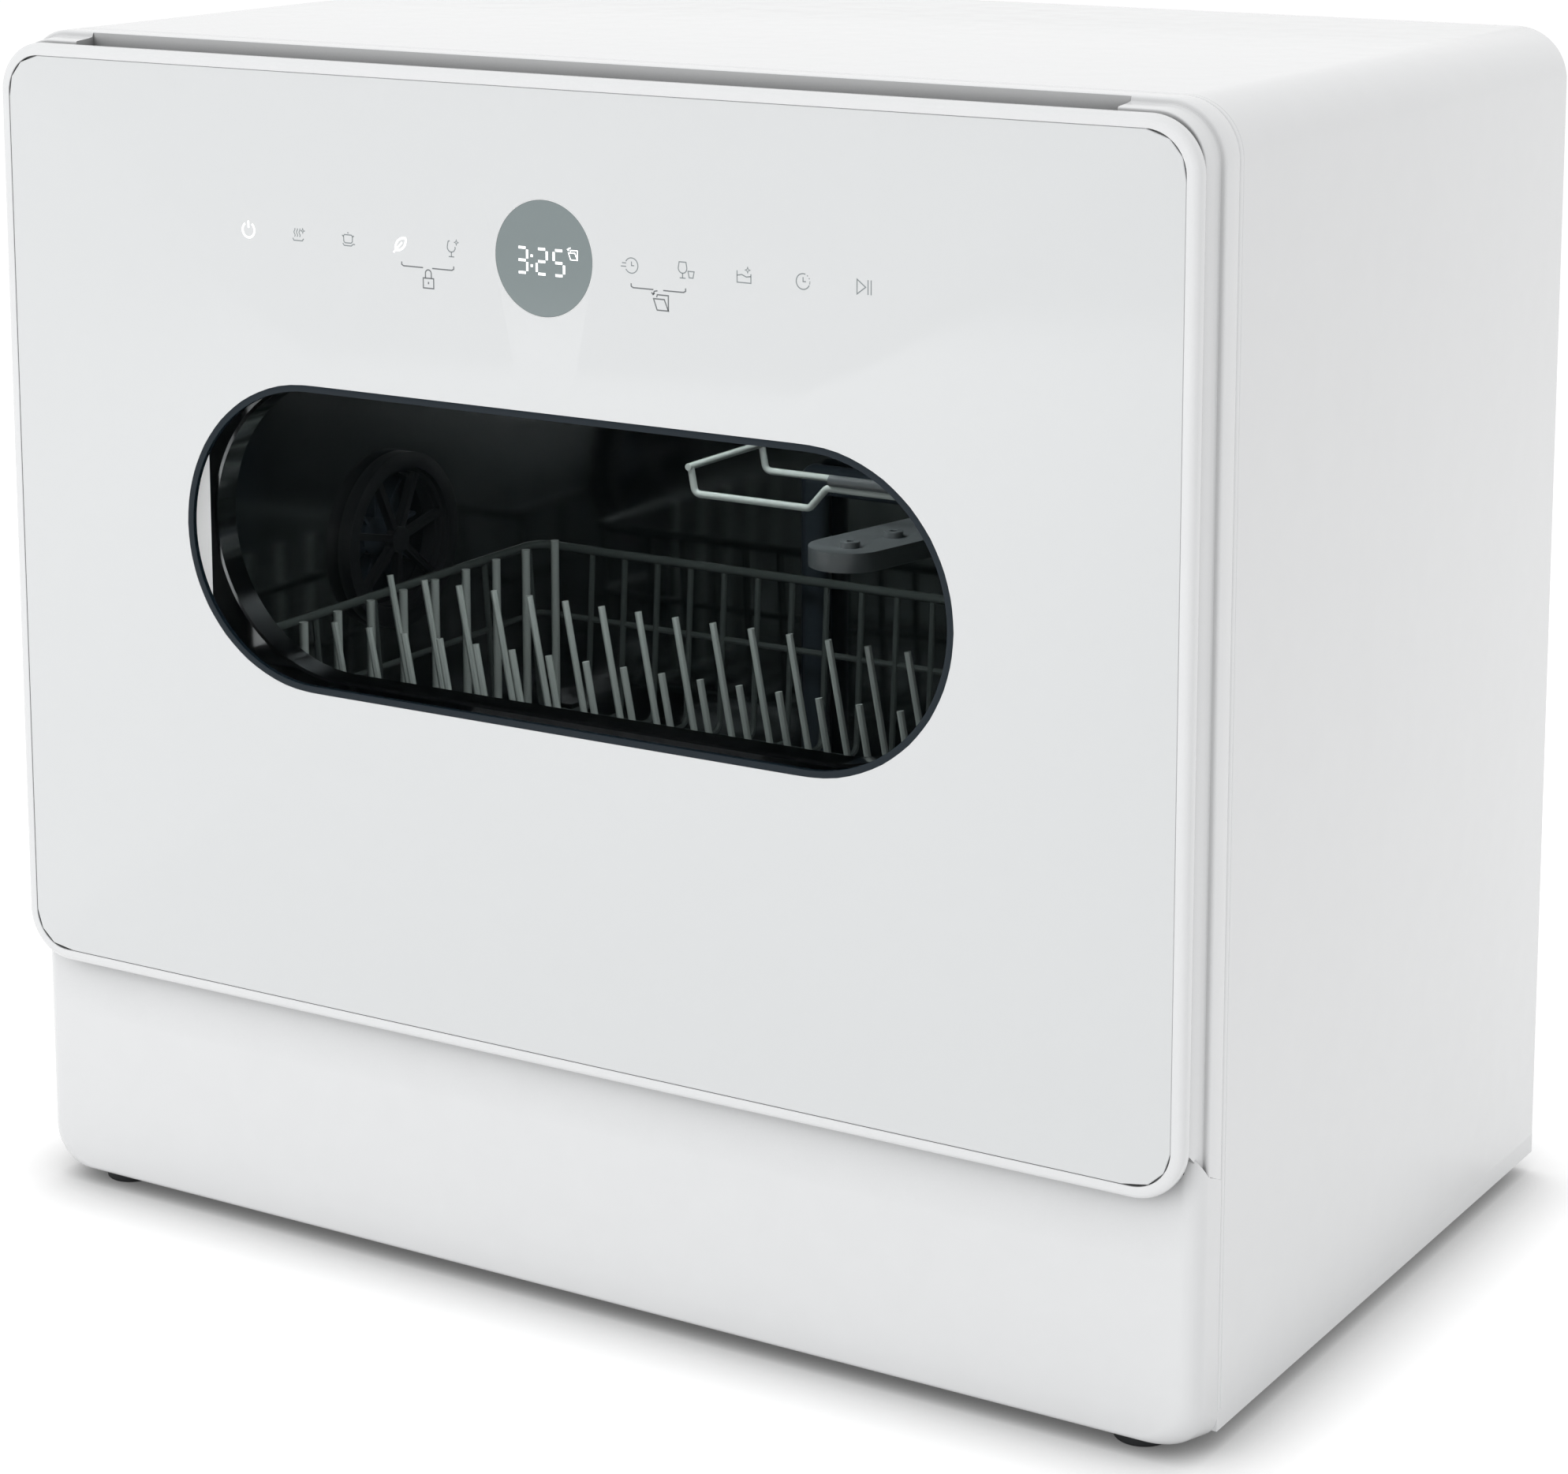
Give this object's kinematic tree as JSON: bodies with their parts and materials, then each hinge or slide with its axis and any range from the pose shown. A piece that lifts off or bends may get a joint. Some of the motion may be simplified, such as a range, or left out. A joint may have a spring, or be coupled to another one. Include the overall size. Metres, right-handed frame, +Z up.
{
  "type": "countertop dishwasher",
  "caption": "Compact countertop dishwasher with a bottom-hinged glass door, stadium window, round display, sliding wire basket, spray arms and rear hose connectors.",
  "frame": {"origin": "on the supporting surface, under the middle of the whole appliance", "axes": "+X to the appliance's right as seen from its front, +Y to its back (the door faces -Y), +Z up"},
  "size_m": [0.55, 0.35, 0.5],
  "materials": {
    "white_plastic": "gloss, moulded",
    "inner_white": "satin, moulded",
    "white_steel": "gloss enamel on folded sheet steel",
    "zinc_steel": "galvanised sheet",
    "stainless": "bright stainless sheet",
    "screw_steel": "black-passivated screws",
    "black_plastic": "satin, moulded",
    "seal_rubber": "matt rubber",
    "grey_plastic": "satin, moulded",
    "blue_plastic": "satin, moulded",
    "coated_wire": "nylon-coated steel wire",
    "white_glass": "back-painted toughened glass",
    "ring_glass": "dark print behind the glass",
    "tinted_glass": "tinted see-through glass",
    "display_glass": "grey display lens",
    "circuit": "circuit board"
  },
  "bodies": {
    "cabinet": {"base_tray": "white_plastic", "plinth": "white_plastic", "bezel": "white_plastic", "outer_wrap": "white_steel", "back_panel": "zinc_steel", "back_screws": "screw_steel", "connector_niche": "black_plastic", "inlet_valve": "grey_plastic", "drain_spigot": "grey_plastic", "power_inlet": "black_plastic", "tub": "stainless", "tub_seal": "seal_rubber", "basket_rails": "stainless", "hinge_beam": "zinc_steel", "hinge_straps": "zinc_steel", "sump": "black_plastic", "filter_plate": "stainless", "spray_hub": "black_plastic", "supply_pipe": "blue_plastic", "shelf_brackets": "grey_plastic", "vent_grille": "black_plastic", "fan_housing": "black_plastic", "softener": "inner_white", "wash_pump": "black_plastic", "drain_pump": "black_plastic", "power_board": "inner_white", "drain_hose": "seal_rubber", "feed_hose": "seal_rubber"},
    "catch": {"catch_lever": "grey_plastic"},
    "filter": {"filter_cup": "grey_plastic"},
    "lower_arm": {"lower_spray_arm": "grey_plastic"},
    "mid_arm": {"mid_spray_arm": "grey_plastic"},
    "shelf": {"cup_shelf": "coated_wire"},
    "fan": {"fan_impeller": "blue_plastic"},
    "salt_lid": {"salt_cap": "grey_plastic"},
    "float": {"float_cap": "grey_plastic"},
    "pump_rotor": {"wash_impeller": "blue_plastic"},
    "foot_fl": {"foot_front_left": "seal_rubber"},
    "foot_fr": {"foot_front_right": "seal_rubber"},
    "foot_bl": {"foot_back_left": "seal_rubber"},
    "foot_br": {"foot_back_right": "seal_rubber"},
    "door": {"door_frame": "white_plastic", "door_glass": "white_glass", "window_ring": "ring_glass", "window_pane": "tinted_glass", "inner_pane": "tinted_glass", "door_liner": "stainless", "display_lens": "display_glass", "control_board": "circuit", "dispenser_body": "inner_white", "hinge_pins": "stainless"},
    "dose_lid": {"dispenser_lid": "grey_plastic"},
    "rinse_lid": {"rinse_cap": "blue_plastic"},
    "basket": {"basket_frame": "coated_wire", "tine_clips": "grey_plastic"},
    "row_front": {"tine_row_front": "coated_wire"},
    "row_back": {"tine_row_back": "coated_wire"},
    "roller_front": {"wheels_front": "grey_plastic"},
    "roller_back": {"wheels_back": "grey_plastic"}
  },
  "joints": [
    {"name": "door_hinge", "type": "hinge", "parent": "cabinet", "child": "door", "pos_m": [0, -0.1693, 0.1081], "axis": [1, 0, 0], "range_deg": [0, 90]},
    {"name": "basket_slide", "type": "slide", "parent": "cabinet", "child": "basket", "axis": [0, -1, 0], "range_m": [0, 0.0902]},
    {"name": "wheels_front_roll", "type": "hinge", "parent": "basket", "child": "roller_front", "pos_m": [0, -0.0575, 0.159], "axis": [1, 0, 0], "range_deg": [0, 574]},
    {"name": "wheels_back_roll", "type": "hinge", "parent": "basket", "child": "roller_back", "pos_m": [0, 0.0685, 0.159], "axis": [1, 0, 0], "range_deg": [0, 574]},
    {"name": "row_back_fold", "type": "hinge", "parent": "basket", "child": "row_back", "pos_m": [0, -0.0575, 0.1655], "axis": [1, 0, 0], "range_deg": [-80, 0]},
    {"name": "row_front_fold", "type": "hinge", "parent": "basket", "child": "row_front", "pos_m": [0, -0.0995, 0.1655], "axis": [1, 0, 0], "range_deg": [-80, 0]},
    {"name": "dose_lid_slide", "type": "slide", "parent": "door", "child": "dose_lid", "axis": [-1, 0, 0], "range_m": [0, 0.064]},
    {"name": "rinse_turn", "type": "hinge", "parent": "door", "child": "rinse_lid", "pos_m": [0.038, -0.1465, 0.1785], "axis": [0, -1, 0], "range_deg": [0, 90]},
    {"name": "catch_tilt", "type": "hinge", "parent": "cabinet", "child": "catch", "pos_m": [0, -0.1475, 0.4955], "axis": [-1, 0, 0], "range_deg": [0, 10], "stiffness_Nm_per_rad": 0.05},
    {"name": "filter_turn", "type": "hinge", "parent": "cabinet", "child": "filter", "pos_m": [0.1, 0.0475, 0.0985], "axis": [0, 0, 1], "range_deg": [0, 60]},
    {"name": "lower_arm_spin", "type": "hinge", "parent": "cabinet", "child": "lower_arm", "pos_m": [0, -0.0025, 0.1445], "axis": [0, 0, 1], "continuous": true},
    {"name": "mid_arm_spin", "type": "hinge", "parent": "cabinet", "child": "mid_arm", "pos_m": [0.085, 0.0175, 0.2975], "axis": [0, 0, 1], "continuous": true},
    {"name": "shelf_fold", "type": "hinge", "parent": "cabinet", "child": "shelf", "pos_m": [0.224, -0.0015, 0.3265], "axis": [0, 1, 0], "range_deg": [0, 38]},
    {"name": "fan_spin", "type": "hinge", "parent": "cabinet", "child": "fan", "pos_m": [-0.245, 0.0305, 0.2515], "axis": [1, 0, 0], "continuous": true},
    {"name": "salt_turn", "type": "hinge", "parent": "cabinet", "child": "salt_lid", "pos_m": [-0.155, 0.0625, 0.1285], "axis": [0, 0, 1], "continuous": true},
    {"name": "float_lift", "type": "slide", "parent": "cabinet", "child": "float", "axis": [0, 0, 1], "range_m": [0, 0.008]},
    {"name": "pump_spin", "type": "hinge", "parent": "cabinet", "child": "pump_rotor", "pos_m": [0, -0.0025, 0.0885], "axis": [0, 0, 1], "continuous": true},
    {"name": "foot_fl_turn", "type": "hinge", "parent": "cabinet", "child": "foot_fl", "pos_m": [-0.245, -0.1455, 0.0085], "axis": [0, 0, 1], "continuous": true},
    {"name": "foot_fr_turn", "type": "hinge", "parent": "cabinet", "child": "foot_fr", "pos_m": [0.245, -0.1455, 0.0085], "axis": [0, 0, 1], "continuous": true},
    {"name": "foot_bl_turn", "type": "hinge", "parent": "cabinet", "child": "foot_bl", "pos_m": [-0.245, 0.149, 0.0085], "axis": [0, 0, 1], "continuous": true},
    {"name": "foot_br_turn", "type": "hinge", "parent": "cabinet", "child": "foot_br", "pos_m": [0.245, 0.149, 0.0085], "axis": [0, 0, 1], "continuous": true}
  ],
  "couplings": [
    {"joint": "basket_slide", "follows": "door_hinge", "m_per_rad": 0.0573},
    {"joint": "wheels_front_roll", "follows": "door_hinge", "ratio": 6.3667},
    {"joint": "wheels_back_roll", "follows": "door_hinge", "ratio": 6.3667},
    {"joint": "row_front_fold", "follows": "row_back_fold", "ratio": 1}
  ]
}
